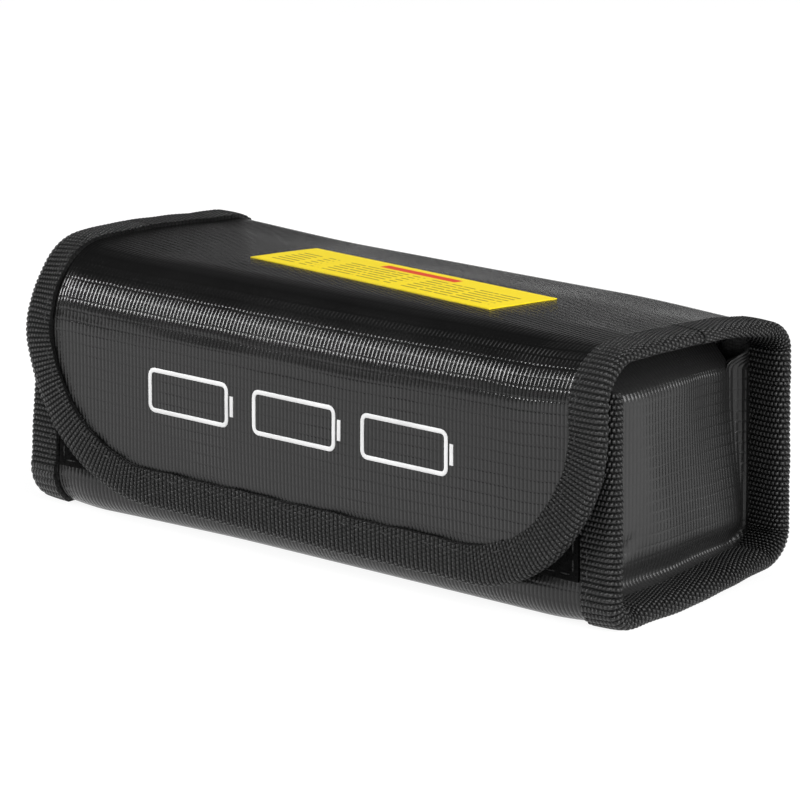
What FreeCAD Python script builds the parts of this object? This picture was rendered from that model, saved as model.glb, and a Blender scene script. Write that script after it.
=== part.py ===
"""Soft battery bag: a coated-cloth box with a fold-over lid, a front flap closed by hook-and-loop tape,
two fold-in side ears, recessed end panels and nylon binding tape round every raw edge.

Frame: origin at the centre of the base, +X along the length, -Y towards the front flap, +Z up. Millimetres.
"""

import FreeCAD
import Part
import Sketcher

import math
import os

V = FreeCAD.Vector
doc = FreeCAD.newDocument("battery_bag")

# ---------------------------------------------------------------- driving dimensions

DIMENSIONS = [
    ("overall_length", 185.0, "over the binding tape at both ends"),
    ("overall_depth", 75.0, "flap tape to back tape"),
    ("overall_height", 64.0, "base to the lid's tape"),
    ("cloth_thick", 0.8, "coated outer cloth"),
    ("lining_thick", 0.6, "inner heat-resistant cloth"),
    ("tape_thick", 0.7, "binding tape, one layer"),
    ("tape_width", 9.5, "binding tape, face width on each side of an edge"),
    ("bottom_radius", 9.0, "outer radius of the two bottom folds"),
    ("back_fold_radius", 8.0, "outer radius of the fold between back and lid"),
    ("front_fold_radius", 10.0, "outer radius of the fold between lid and flap"),
    ("fold_gap", 4.0, "degrees from the middle of a moving fold to each panel's edge"),
    ("flap_standoff", 2.6, "space between flap and front for the hook-and-loop pair"),
    ("mouth_height", 55.0, "top edge of the front panel"),
    ("end_recess", 14.5, "end panel, in from the overall length"),
    ("end_height", 47.6, "top of the end panel, where the ear folds"),
    ("flap_bottom", 5.5, "lower edge of the flap above the base"),
    ("flap_corner", 42.0, "radius of the flap's two lower corners"),
    ("loop_length", 164.0, "soft loop tape on the front panel"),
    ("loop_width", 25.0, "soft loop tape"),
    ("loop_thick", 1.3, "soft loop tape"),
    ("loop_bottom", 10.5, "lower edge of the loop tape above the base"),
    ("hook_length", 116.0, "hook tape inside the flap"),
    ("hook_width", 20.0, "hook tape"),
    ("hook_thick", 1.0, "hook tape"),
    ("hook_bottom", 17.0, "lower edge of the hook tape above the base"),
    ("ear_axis_rise", 1.4, "ear's fold line above the end panel"),
    ("ear_root_gap", 1.2, "from the fold line to the ear's cloth"),
    ("ear_slope", 13.0, "sloping part of the ear"),
    ("ear_flat", 18.0, "flat part of the ear under the lid"),
    ("ear_front", 28.3, "ear's front edge, forward of the centre"),
    ("ear_back", 31.5, "ear's back edge, behind the centre"),
    ("ear_taper", 14.0, "how far each side of the ear narrows towards its tip"),
    ("ear_tape_width", 5.5, "tape face width round the ear"),
    ("label_length", 84.0, "sticker on the lid"),
    ("label_width", 22.0, "sticker on the lid"),
    ("label_thick", 0.2, "sticker on the lid"),
    ("label_shift", 0.7, "sticker's centre, left of the middle of the lid"),
    ("label_back", -1.0, "sticker's centre, behind the middle of the lid; less than 0 is in front of it"),
    ("label_turn", -4.9, "degrees that the sticker sits askew"),
    ("mark_length", 27.0, "one printed cell pictogram"),
    ("mark_height", 11.0, "one printed cell pictogram"),
    ("mark_corner", 2.0, "rounded corners of a pictogram"),
    ("mark_stroke", 1.1, "width of the printed line"),
    ("mark_pitch", 35.0, "spacing of the pictograms"),
    ("mark_shift", 2.0, "the row of pictograms, left of the middle"),
    ("mark_level", 35.0, "middle of the print above the base"),
    ("ink_thick", 0.12, "printed ink"),
    ("stitch_length", 2.8, "visible length of one stitch"),
    ("stitch_pitch", 4.4, "spacing of the stitches"),
    ("stitch_width", 0.5, "thread"),
    ("stitch_height", 0.2, "thread above the tape"),
    ("stitch_inset", 1.8, "seam line from the tape's inner edge"),
]

sheet = doc.addObject("Spreadsheet::Sheet", "Sizes")
for row, (alias, value, note) in enumerate(DIMENSIONS, start=1):
    sheet.set(f"A{row}", note)
    sheet.set(f"B{row}", str(value))
    sheet.setAlias(f"B{row}", alias)
doc.recompute()


class Size:
    """A length that carries its value and the spreadsheet formula it comes from."""

    def __init__(self, value, formula):
        self.value = float(value)
        self.formula = formula

    def _with(self, other, sign, result):
        right = other if isinstance(other, Size) else Size(other, repr(float(other)))
        return Size(result(self.value, right.value), f"({self.formula} {sign} {right.formula})")

    def __add__(self, other):
        return self._with(other, "+", lambda a, b: a + b)

    def __sub__(self, other):
        return self._with(other, "-", lambda a, b: a - b)

    def __mul__(self, other):
        return self._with(other, "*", lambda a, b: a * b)

    def __truediv__(self, other):
        return self._with(other, "/", lambda a, b: a / b)

    def __neg__(self):
        return Size(-self.value, f"(0 - {self.formula})")


def dim(alias):
    return Size(getattr(sheet, alias), f"Sizes.{alias}")


ZERO = Size(0, "0")
CLOTH = dim("cloth_thick")
LINING = dim("lining_thick")
TAPE = dim("tape_thick")
WALL = CLOTH + LINING
TAPE_X = dim("overall_length") / 2
CLOTH_X = TAPE_X - TAPE
TAPE_INNER_X = TAPE_X - dim("tape_width")
END_X = TAPE_X - dim("end_recess")

FLAP_Y = -(dim("overall_depth") / 2 - TAPE)
FLAP_INNER_Y = FLAP_Y + WALL
FRONT_Y = FLAP_INNER_Y + dim("flap_standoff")
BACK_Y = dim("overall_depth") / 2 - TAPE
BASE_Z = TAPE
LID_Z = dim("overall_height") - TAPE


# ---------------------------------------------------------------- sketch helpers


def plane_of(body, role):
    return next(f for f in body.Origin.OriginFeatures if f.Role == role)


def new_body(label):
    body = doc.addObject("PartDesign::Body", label)
    body.Label = label
    body.AllowCompound = True
    return body


def new_sketch(body, role, offset=None):
    """A sketch on an origin plane of its body, raised along the plane's normal by offset."""
    sketch = body.newObject("Sketcher::SketchObject", body.Name + "_sketch")
    sketch.AttachmentSupport = (plane_of(body, role), "")
    sketch.MapMode = "FlatFace"
    if offset is not None:
        sketch.AttachmentOffset = FreeCAD.Placement(V(0, 0, offset.value), FreeCAD.Rotation())
        sketch.setExpression(".AttachmentOffset.Base.z", offset.formula)
    return sketch


def bind(sketch, kind, *where, size):
    """Adds a dimension to the sketch and ties it to the spreadsheet."""
    index = sketch.addConstraint(Sketcher.Constraint(kind, *where, size.value))
    sketch.setExpression(f"Constraints[{index}]", size.formula)


def locate(sketch, geometry, vertex, axis, size):
    """Fixes a point's distance from the origin along an axis. A distance in a sketch is never negative."""
    kind = "Distance" + axis
    if size.value < 0:
        bind(sketch, kind, geometry, vertex, -1, 1, size=-size)
    elif size.value > 0:
        bind(sketch, kind, -1, 1, geometry, vertex, size=size)
    else:
        sketch.addConstraint(Sketcher.Constraint("PointOnObject", geometry, vertex, -1 if axis == "Y" else -2))


def fully_set(sketch):
    doc.recompute()
    if sketch.solve() != 0:
        raise RuntimeError(f"{sketch.Label} does not solve")


def outline(sketch, corners):
    """A closed outline of level and upright lines. Each corner is (across, up, radius or None)."""
    n = len(corners)
    points = [V(a.value, b.value, 0) for a, b, _ in corners]
    lines, arcs = [], {}
    starts, ends = list(points), list(points)
    for i, (_, _, radius) in enumerate(corners):
        if radius is None:
            continue
        before = (points[i - 1] - points[i]).normalize() * radius.value
        after = (points[(i + 1) % n] - points[i]).normalize() * radius.value
        ends[i], starts[i] = points[i] + before, points[i] + after
        centre = points[i] + before + after
        turn = before.cross(after).z
        first, last = (starts[i], ends[i]) if turn > 0 else (ends[i], starts[i])
        a0 = math.atan2(first.y - centre.y, first.x - centre.x)
        a1 = math.atan2(last.y - centre.y, last.x - centre.x)
        circle = Part.Circle(centre, V(0, 0, 1), radius.value)
        arcs[i] = (sketch.addGeometry(Part.ArcOfCircle(circle, a0, a1), False), turn > 0)
    for i in range(n):
        lines.append(sketch.addGeometry(Part.LineSegment(starts[i], ends[(i + 1) % n]), False))
    for i, (across, up, radius) in enumerate(corners):
        following = corners[(i + 1) % n]
        level = abs(following[1].value - up.value) < 1e-9
        sketch.addConstraint(Sketcher.Constraint("Horizontal" if level else "Vertical", lines[i]))
        locate(sketch, lines[i], 1, "Y" if level else "X", up if level else across)
        if radius is None:
            sketch.addConstraint(Sketcher.Constraint("Coincident", lines[i - 1], 2, lines[i], 1))
            continue
        arc, swapped = arcs[i]
        sketch.addConstraint(Sketcher.Constraint("Tangent", lines[i - 1], 2, arc, 2 if swapped else 1))
        sketch.addConstraint(Sketcher.Constraint("Tangent", arc, 1 if swapped else 2, lines[i], 1))
        bind(sketch, "Radius", arc, size=radius)
    fully_set(sketch)


def polygon(sketch, corners):
    """A closed outline of straight lines between points, each placed from the origin."""
    points = [V(a.value, b.value, 0) for a, b in corners]
    n = len(points)
    lines = [sketch.addGeometry(Part.LineSegment(points[i], points[(i + 1) % n]), False) for i in range(n)]
    for i, (across, up) in enumerate(corners):
        sketch.addConstraint(Sketcher.Constraint("Coincident", lines[i - 1], 2, lines[i], 1))
        locate(sketch, lines[i], 1, "X", across)
        locate(sketch, lines[i], 1, "Y", up)
    fully_set(sketch)


def split(before_middle):
    """The angle, in degrees, at which a cloth stops at the middle of the back fold, on one side of it."""
    middle = Size(45, "45")
    return middle - dim("fold_gap") if before_middle else middle + dim("fold_gap")


def degrees(value):
    return Size(value, str(value))


def sheet_section(sketch, arcs, near, far, start=None, end=None):
    """The section of a cloth layer that runs counter-clockwise through tangent arcs.

    Each arc is (across, up, radius, first angle, last angle) on the cloth's outer surface. The layer lies
    between the depths near and far inside that surface. A start or end is the level at which an upright
    run stops. Without one the layer is cut off square to itself at the arc's own angle.
    """
    tips = {"start": [], "end": []}
    for depth in (far, near):
        chain = []
        for across, up, radius, a0, a1 in arcs:
            circle = Part.Circle(V(across.value, up.value, 0), V(0, 0, 1), radius.value - depth.value)
            shape = Part.ArcOfCircle(circle, math.radians(a0.value), math.radians(a1.value))
            arc = sketch.addGeometry(shape, False)
            locate(sketch, arc, 3, "X", across)
            locate(sketch, arc, 3, "Y", up)
            bind(sketch, "Radius", arc, size=radius - depth)
            chain.append((arc, shape))
        for (a, shape_a), (b, shape_b) in zip(chain, chain[1:]):
            line = sketch.addGeometry(Part.LineSegment(shape_a.EndPoint, shape_b.StartPoint), False)
            sketch.addConstraint(Sketcher.Constraint("Tangent", a, 2, line, 1))
            sketch.addConstraint(Sketcher.Constraint("Tangent", line, 2, b, 1))
        (first, first_shape), (last, last_shape) = chain[0], chain[-1]
        tips["start"].append(run_to(sketch, first, 1, first_shape.StartPoint, start))
        tips["end"].append(run_to(sketch, last, 2, last_shape.EndPoint, end))
    for place, level, angle in (("start", start, arcs[0][3]), ("end", end, arcs[-1][4])):
        (inner, inner_vertex, inner_point), (outer, outer_vertex, outer_point) = tips[place]
        cap = sketch.addGeometry(Part.LineSegment(inner_point, outer_point), False)
        sketch.addConstraint(Sketcher.Constraint("Coincident", inner, inner_vertex, cap, 1))
        sketch.addConstraint(Sketcher.Constraint("Coincident", outer, outer_vertex, cap, 2))
        if level is None:
            sketch.addConstraint(Sketcher.Constraint("PointOnObject", inner, 3, cap))
            index = sketch.addConstraint(Sketcher.Constraint("Angle", cap, math.radians(angle.value)))
            sketch.setExpression(f"Constraints[{index}]", angle.formula)
    fully_set(sketch)


def run_to(sketch, arc, vertex, point, level):
    """Carries one end of a cloth's surface upright to a level, if there is one, and returns where it ends."""
    if level is None:
        return arc, vertex, point
    tip = V(point.x, level.value, 0)
    line = sketch.addGeometry(Part.LineSegment(point, tip), False)
    sketch.addConstraint(Sketcher.Constraint("Tangent", line, 1, arc, vertex))
    sketch.addConstraint(Sketcher.Constraint("Vertical", line))
    locate(sketch, line, 2, "Y", level)
    return line, 2, tip


def pad(body, sketch, length, midplane=False, reverse=False):
    feature = body.newObject("PartDesign::Pad", body.Name + "_pad")
    feature.Profile = sketch
    feature.Length = length.value
    feature.setExpression("Length", length.formula)
    feature.Midplane = midplane
    feature.Reversed = reverse
    doc.recompute()


def pocket(body, sketch):
    """Cuts the sketch right through the body, both ways, and proves that it cut."""
    before = body.Shape.Volume
    feature = body.newObject("PartDesign::Pocket", body.Name + "_pocket")
    feature.Profile = sketch
    feature.Type = "ThroughAll"
    feature.Midplane = True
    doc.recompute()
    if body.Shape.Volume > before - 1e-6:
        raise RuntimeError(f"{feature.Label} cuts nothing")


def fillet(body, radius, chosen):
    """Rounds the edges that the test picks."""
    base = body.Tip
    names = [f"Edge{i}" for i, edge in enumerate(base.Shape.Edges, start=1) if chosen(edge)]
    feature = body.newObject("PartDesign::Fillet", body.Name + "_fillet")
    feature.Base = (base, names)
    feature.Radius = radius.value
    feature.setExpression("Radius", radius.formula)
    doc.recompute()


# ---------------------------------------------------------------- cloth layers that run front to back

BOTTOM_R = dim("bottom_radius")
BACK_R = dim("back_fold_radius")
FRONT_R = dim("front_fold_radius")
MOUTH_Z = dim("mouth_height")
MOUTH_TAPE_Z = MOUTH_Z + TAPE
FLAP_Z = dim("flap_bottom")
BACK_FOLD_Z = LID_Z - BACK_R
FRONT_FOLD_Z = LID_Z - FRONT_R

BOTTOM_ARCS = [
    (FRONT_Y + BOTTOM_R, BASE_Z + BOTTOM_R, BOTTOM_R, degrees(180), degrees(270)),
    (BACK_Y - BOTTOM_R, BASE_Z + BOTTOM_R, BOTTOM_R, degrees(270), degrees(360)),
]
BACK_FOLD_BELOW = (BACK_Y - BACK_R, BACK_FOLD_Z, BACK_R, degrees(0), split(True))
BACK_FOLD_ABOVE = (BACK_Y - BACK_R, BACK_FOLD_Z, BACK_R, split(False), degrees(90))
FRONT_FOLD_ABOVE = (FLAP_Y + FRONT_R, FRONT_FOLD_Z, FRONT_R, degrees(90), degrees(90) + split(True))
FRONT_FOLD_BELOW = (FLAP_Y + FRONT_R, FRONT_FOLD_Z, FRONT_R, degrees(90) + split(False), degrees(180))

POUCH_ARCS = BOTTOM_ARCS + [BACK_FOLD_BELOW]
LID_ARCS = [BACK_FOLD_ABOVE, FRONT_FOLD_ABOVE]
SIDES = (("left", -1), ("right", 1))


def across_layer(label, arcs, near, far, half_length, start=None, end=None):
    """A cloth layer as wide as the bag, made from its section."""
    body = new_body(label)
    sketch = new_sketch(body, "YZ_Plane")
    sheet_section(sketch, arcs, near, far, start, end)
    pad(body, sketch, half_length * 2, midplane=True)
    return body


def side_layer(body, side, arcs, near, far, low, high, start=None, end=None):
    """Adds a strip of the section to one end of the bag, between two distances from the middle."""
    sketch = new_sketch(body, "YZ_Plane", low * side)
    sheet_section(sketch, arcs, near, far, start, end)
    pad(body, sketch, high - low, reverse=side < 0)


def side_block(body, side, low, high, corners):
    """Adds a block with the given outline, as (y, z) corners, to one end of the bag."""
    sketch = new_sketch(body, "YZ_Plane", low * side)
    outline(sketch, corners)
    pad(body, sketch, high - low, reverse=side < 0)


def front_layer(body, depth, thickness, corners):
    """Adds a flat layer with the given outline, as (x, z) corners. depth is its foremost Y, as a size."""
    sketch = new_sketch(body, "XZ_Plane", -depth)
    outline(sketch, corners)
    pad(body, sketch, thickness, reverse=True)


# ---------------------------------------------------------------- pouch

FIN = WALL * 2
MOUTH_TAPE_X = END_X - WALL - Size(0.3, "0.3")


def make_wrap():
    across_layer("wrap_panel", POUCH_ARCS, ZERO, CLOTH, CLOTH_X, start=MOUTH_Z)
    across_layer("wrap_lining", POUCH_ARCS, CLOTH, WALL, CLOTH_X, start=MOUTH_Z)


def make_tray(label, side, near, far, low, thickness):
    """A recessed end: a panel across the bag with its three edges turned outward along the wrap."""
    body = new_body(label)
    side_layer(body, side, BOTTOM_ARCS, near, far, low, CLOTH_X, start=MOUTH_Z, end=MOUTH_Z)
    front, back, base, top = FRONT_Y + near, BACK_Y - near, BASE_Z + near, dim("end_height")
    round_r = BOTTOM_R - near
    corners = [(front, base, round_r), (back, base, round_r), (back, top, None), (front, top, None)]
    side_block(body, side, low, low + thickness, corners)


def make_ends():
    for name, side in SIDES:
        make_tray(f"end_panel_{name}", side, WALL + LINING, FIN, END_X - CLOTH, CLOTH)
        make_tray(f"end_lining_{name}", side, WALL, WALL + LINING, END_X - WALL, LINING)
        make_end_binding(name, side)


def make_end_binding(name, side):
    """Tape folded over the raw edges of the wrap and the end panel, from the mouth round to the lid fold."""
    body = new_body(f"end_binding_{name}")
    side_layer(body, side, POUCH_ARCS, -TAPE, ZERO, TAPE_INNER_X, TAPE_X, start=MOUTH_TAPE_Z)
    side_layer(body, side, BOTTOM_ARCS, ZERO, FIN, CLOTH_X, TAPE_X, MOUTH_TAPE_Z, MOUTH_Z)
    side_layer(body, side, BOTTOM_ARCS, FIN, FIN + TAPE, TAPE_INNER_X, TAPE_X, MOUTH_TAPE_Z, MOUTH_Z)
    side_layer(body, side, [BACK_FOLD_BELOW], ZERO, WALL, CLOTH_X, TAPE_X)
    side_layer(body, side, [BACK_FOLD_BELOW], WALL, WALL + TAPE, TAPE_INNER_X, TAPE_X)
    front, back = FRONT_Y, FRONT_Y + FIN
    cap = [(front, MOUTH_Z), (back, MOUTH_Z), (back, MOUTH_TAPE_Z), (front, MOUTH_TAPE_Z)]
    side_block(body, side, TAPE_INNER_X, CLOTH_X, [(y, z, None) for y, z in cap])


def make_mouth_binding():
    """Tape over the front panel's top edge, between the linings of the two end panels."""
    body = new_body("mouth_binding")
    sketch = new_sketch(body, "YZ_Plane")
    low = MOUTH_TAPE_Z - dim("tape_width")
    front, back = FRONT_Y, FRONT_Y + WALL
    corners = [
        (front - TAPE, low),
        (front, low),
        (front, MOUTH_Z),
        (back, MOUTH_Z),
        (back, low),
        (back + TAPE, low),
        (back + TAPE, MOUTH_TAPE_Z),
        (front - TAPE, MOUTH_TAPE_Z),
    ]
    outline(sketch, [(y, z, None) for y, z in corners])
    pad(body, sketch, MOUTH_TAPE_X * 2, midplane=True)


def make_strip(label, depth, alias):
    """A strip of hook or loop tape, lying flat. depth is its foremost Y, alias starts its four sizes."""
    body = new_body(label)
    half = dim(alias + "_length") / 2
    low = dim(alias + "_bottom")
    high = low + dim(alias + "_width")
    corners = [(-half, low, None), (half, low, None), (half, high, None), (-half, high, None)]
    front_layer(body, depth, dim(alias + "_thick"), corners)


# ---------------------------------------------------------------- lid


def make_lid():
    across_layer("lid_panel", LID_ARCS, ZERO, CLOTH, CLOTH_X)
    across_layer("lid_lining", LID_ARCS, CLOTH, WALL, CLOTH_X)
    for name, side in SIDES:
        body = new_body(f"lid_binding_{name}")
        edge_binding(body, side, LID_ARCS)
    make_label()


def edge_binding(body, side, arcs, end=None):
    """Tape folded over one side edge of the lid or the flap."""
    side_layer(body, side, arcs, -TAPE, ZERO, TAPE_INNER_X, TAPE_X, end=end)
    side_layer(body, side, arcs, ZERO, WALL, CLOTH_X, TAPE_X, end=end)
    side_layer(body, side, arcs, WALL, WALL + TAPE, TAPE_INNER_X, TAPE_X, end=end)


def make_label():
    body = new_body("label_sticker")
    sketch = new_sketch(body, "XY_Plane", LID_Z)
    half_l, half_w = dim("label_length") / 2, dim("label_width") / 2
    corners = [(-half_l, -half_w), (half_l, -half_w), (half_l, half_w), (-half_l, half_w)]
    outline(sketch, [(x, y, None) for x, y in corners])
    pad(body, sketch, dim("label_thick"))
    turn = dim("label_turn")
    body.Placement = FreeCAD.Placement(V(0, 0, 0), FreeCAD.Rotation(V(0, 0, 1), turn.value))
    body.setExpression(".Placement.Base.x", "0 - Sizes.label_shift")
    body.setExpression(".Placement.Base.y", "Sizes.label_back")


# ---------------------------------------------------------------- flap

FLAP_TOP = FRONT_FOLD_Z


def flap_outline(inset, level=FLAP_TOP):
    """The flat part of the flap, its edge moved in by inset. Its two lower corners are rounded."""
    half, base, round_r = TAPE_X - inset, FLAP_Z + inset, dim("flap_corner") - inset
    return [(-half, level, None), (-half, base, round_r), (half, base, round_r), (half, level, None)]


def make_flap_cloth(label, near, far):
    """The flap's cloth, from the front fold down, less the two corners outside its rounded edge."""
    body = across_layer(label, [FRONT_FOLD_BELOW], near, far, CLOTH_X, end=FLAP_Z + TAPE)
    low_corner = FLAP_Z.value + 1.0
    fillet(
        body,
        dim("flap_corner") - TAPE,
        lambda e: abs(e.BoundBox.YLength - e.Length) < 1e-6 and e.BoundBox.ZMax < low_corner,
    )


def make_flap():
    make_flap_cloth("flap_panel", ZERO, CLOTH)
    make_flap_cloth("flap_lining", CLOTH, WALL)
    body = new_body("flap_binding")
    inner = flap_outline(dim("tape_width"))[::-1]
    front_layer(body, FLAP_Y - TAPE, TAPE, flap_outline(ZERO) + inner)
    front_layer(body, FLAP_Y, WALL, flap_outline(ZERO) + flap_outline(TAPE)[::-1])
    front_layer(body, FLAP_INNER_Y, TAPE, flap_outline(ZERO) + inner)
    for _, side in SIDES:
        edge_binding(body, side, [FRONT_FOLD_BELOW])
    make_strip("hook_strip", FLAP_INNER_Y, "hook")
    make_print()


def make_print():
    """Three outlined cell pictograms printed in a row on the flap."""
    body = new_body("printed_mark")
    sketch = new_sketch(body, "XZ_Plane", -FLAP_Y)
    half_l, half_h, stroke = dim("mark_length") / 2, dim("mark_height") / 2, dim("mark_stroke")
    for place in (-1, 0, 1):
        middle = dim("mark_pitch") * place - dim("mark_shift")
        for inset in (ZERO, stroke):
            left, right = middle - half_l + inset, middle + half_l - inset
            low, high = dim("mark_level") - half_h + inset, dim("mark_level") + half_h - inset
            round_r = dim("mark_corner") - inset
            outline(sketch, [(x, z, round_r) for x, z in ((left, low), (right, low), (right, high), (left, high))])
        terminal = middle + half_l + stroke / 2
        low, high = dim("mark_level") - half_h / 2, dim("mark_level") + half_h / 2
        box = [(terminal, low), (terminal + stroke, low), (terminal + stroke, high), (terminal, high)]
        outline(sketch, [(x, z, None) for x, z in box])
    pad(body, sketch, dim("ink_thick"))


# ---------------------------------------------------------------- side ears

DIAGONAL = math.sqrt(0.5)
MITRE = math.tan(math.radians(22.5))
EAR_AXIS_Z = dim("end_height") + dim("ear_axis_rise")


def ear_section(side, near, far, beyond):
    """The ear's section, sloping in at 45 degrees and then level, from its fold line to its tip."""
    root = dim("ear_root_gap") * DIAGONAL
    bend = dim("ear_slope") * DIAGONAL
    tip_x = END_X - bend - dim("ear_flat") - beyond

    def surface(depth):
        shift = depth * DIAGONAL
        at_root = (END_X - root - shift, EAR_AXIS_Z + root - shift)
        at_bend = (END_X - bend - depth * MITRE, EAR_AXIS_Z + bend - depth)
        return [at_root, at_bend, (tip_x, EAR_AXIS_Z + bend - depth)]

    points = surface(near) + surface(far)[::-1]
    return [(x * side, z) for x, z in points]


def ear_body(label, side, near, far, grow):
    """One layer of an ear, cut to its plan. grow carries every free edge outward."""
    body = new_body(label)
    front, back = -dim("ear_front") - grow, dim("ear_back") + grow
    sketch = new_sketch(body, "XZ_Plane", -back)
    polygon(sketch, ear_section(side, near, far, grow))
    pad(body, sketch, back - front)
    bend = END_X - dim("ear_slope") * DIAGONAL
    tip = bend - dim("ear_flat") - grow
    beyond = tip - Size(1, "1")
    sketch = new_sketch(body, "XY_Plane")
    for edge, inward in ((front, 1), (back, -1)):
        taper = dim("ear_taper") * inward
        outside = edge - Size(1, "1") * inward
        corner = [(bend, outside), (bend, edge), (tip, edge + taper), (beyond, edge + taper), (beyond, outside)]
        polygon(sketch, [(x * side, y) for x, y in corner])
    pocket(body, sketch)
    return body


def make_ears():
    for name, side in SIDES:
        panel = ear_body(f"ear_panel_{name}", side, ZERO, CLOTH, ZERO)
        lining = ear_body(f"ear_lining_{name}", side, CLOTH, WALL, ZERO)
        make_ear_binding(name, side, [panel, lining])


def make_ear_binding(name, side, layers):
    """Tape round the ear's three free edges: a thicker, wider ear less the cloth and the middle."""
    block = ear_body(f"ear_tape_{name}_block", side, -TAPE, WALL + TAPE, TAPE)
    inset = dim("ear_tape_width")
    front, back = inset - dim("ear_front"), dim("ear_back") - inset
    bend = END_X - dim("ear_slope") * DIAGONAL
    tip = bend - dim("ear_flat") + inset
    taper = dim("ear_taper")
    root = END_X + Size(1, "1")
    sketch = new_sketch(block, "XY_Plane")
    window = [(root, front), (bend, front), (tip, front + taper), (tip, back - taper), (bend, back), (root, back)]
    polygon(sketch, [(x * side, y) for x, y in window])
    pocket(block, sketch)
    cloth = doc.addObject("Part::MultiFuse", f"ear_tape_{name}_cloth")
    cloth.Shapes = layers
    binding = doc.addObject("Part::Cut", f"ear_binding_{name}")
    binding.Label = f"ear_binding_{name}"
    binding.Base = block
    binding.Tool = cloth


# ---------------------------------------------------------------- stitches


def stitch_row(start, end, out, skip=0.0):
    """Separate stitches along a straight seam from start to end, standing out of the tape along out."""
    along = (end - start).normalize()
    length = (end - start).Length - 2 * skip
    pitch, stitch = sheet.stitch_pitch, sheet.stitch_length
    count = max(1, int((length - stitch) // pitch) + 1)
    first = skip + (length - (count - 1) * pitch - stitch) / 2
    return [one_stitch(start + along * (first + i * pitch), along, out) for i in range(count)]


def one_stitch(start, along, out):
    width, height = sheet.stitch_width, sheet.stitch_height
    side = out.cross(along)
    block = Part.makeBox(sheet.stitch_length, width, height, V(0, -width / 2, 0))
    axes = FreeCAD.Matrix(
        along.x, side.x, out.x, start.x,
        along.y, side.y, out.y, start.y,
        along.z, side.z, out.z, start.z,
    )
    return block.transformGeometry(axes)


def stitch_arc(centre, radius, first, last, out):
    """Stitches round a quarter turn in the flap's plane, each laid along the curve."""
    span = math.radians(abs(last - first))
    count = int(radius * span // sheet.stitch_pitch)
    stitches = []
    for i in range(count):
        angle = math.radians(first) + math.copysign(span, last - first) * (i + 0.5) / count
        ray = V(math.cos(angle), 0, math.sin(angle))
        along = V(-ray.z, 0, ray.x)
        stitches.append(one_stitch(centre + ray * radius - along * sheet.stitch_length / 2, along, out))
    return stitches


def stitch_node(label, solids):
    node = doc.addObject("Part::Feature", label)
    node.Label = label
    node.Shape = Part.makeCompound(solids)


def seam_x():
    return TAPE_INNER_X.value + sheet.stitch_inset


def make_pouch_stitches():
    """Seams through the end tapes at the front and back, the mouth tape and the loop strip."""
    front, back = (FRONT_Y - TAPE).value, (BACK_Y + TAPE).value
    low = (BASE_Z + BOTTOM_R).value
    for name, side in SIDES:
        x = side * seam_x()
        rows = stitch_row(V(x, front, low), V(x, front, MOUTH_Z.value), V(0, -1, 0), skip=1.0)
        rows += stitch_row(V(x, back, low), V(x, back, BACK_FOLD_Z.value), V(0, 1, 0), skip=1.0)
        stitch_node(f"end_stitches_{name}", rows)
    reach = MOUTH_TAPE_X.value - 1.0
    mouth = MOUTH_TAPE_Z.value - sheet.tape_width + sheet.stitch_inset
    stitch_node("mouth_stitches", stitch_row(V(-reach, front, mouth), V(reach, front, mouth), V(0, -1, 0)))
    half = sheet.loop_length / 2 - sheet.stitch_inset
    face = (FRONT_Y - dim("loop_thick")).value
    strip_stitches("loop_stitches", half, sheet.loop_bottom, sheet.loop_width, face, V(0, -1, 0))


def strip_stitches(label, half, low, width, face, out):
    """Two rows along a hook or loop strip, sunk into its field so that they never touch the other strip."""
    sunk = face - out.y * sheet.stitch_height
    rows = []
    for z in (low + sheet.stitch_inset, low + width - sheet.stitch_inset):
        rows += stitch_row(V(-half, sunk, z), V(half, sunk, z), out)
    stitch_node(label, rows)


def make_lid_stitches():
    top = (LID_Z + TAPE).value
    front, back = (FLAP_Y + FRONT_R).value, (BACK_Y - BACK_R).value
    for name, side in SIDES:
        x = side * seam_x()
        rows = stitch_row(V(x, front, top), V(x, back, top), V(0, 0, 1), skip=1.0)
        stitch_node(f"lid_stitches_{name}", rows)


def make_flap_stitches():
    """One seam down the left side of the flap, along its lower edge and up the right side."""
    face = (FLAP_Y - TAPE).value
    out = V(0, -1, 0)
    inset = sheet.tape_width - sheet.stitch_inset
    radius = sheet.flap_corner - inset
    centre_x, centre_z = sheet.overall_length / 2 - sheet.flap_corner, sheet.flap_bottom + sheet.flap_corner
    rows = stitch_row(V(-centre_x, face, centre_z - radius), V(centre_x, face, centre_z - radius), out)
    for side, first, last in ((1, -90, 0), (-1, 270, 180)):
        rows += stitch_arc(V(side * centre_x, face, centre_z), radius, first, last, out)
    stitch_node("flap_stitches", rows)
    half = sheet.hook_length / 2 - sheet.stitch_inset
    face = (FLAP_INNER_Y + dim("hook_thick")).value
    strip_stitches("hook_stitches", half, sheet.hook_bottom, sheet.hook_width, face, V(0, 1, 0))


# ---------------------------------------------------------------- build, check and write


def build():
    make_wrap()
    make_ends()
    make_mouth_binding()
    make_strip("loop_strip", FRONT_Y - dim("loop_thick"), "loop")
    make_lid()
    make_flap()
    make_ears()
    make_pouch_stitches()
    make_lid_stitches()
    make_flap_stitches()
    doc.recompute()


def sub_parts():
    """Every object that stands for a physical piece: the bodies, the stitches and the ear tapes."""
    kinds = ("PartDesign::Body", "Part::Feature", "Part::Cut")
    return [o for o in doc.Objects if o.TypeId in kinds and not o.Label.endswith("_block")]


def check():
    for item in doc.Objects:
        if "Invalid" in item.State or "Error" in item.State:
            raise RuntimeError(f"{item.Label} failed: {item.State}")
    for item in sub_parts():
        if item.Shape.isNull() or not item.Shape.isValid() or not item.Shape.Solids:
            raise RuntimeError(f"{item.Label} has no valid solid")


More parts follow.
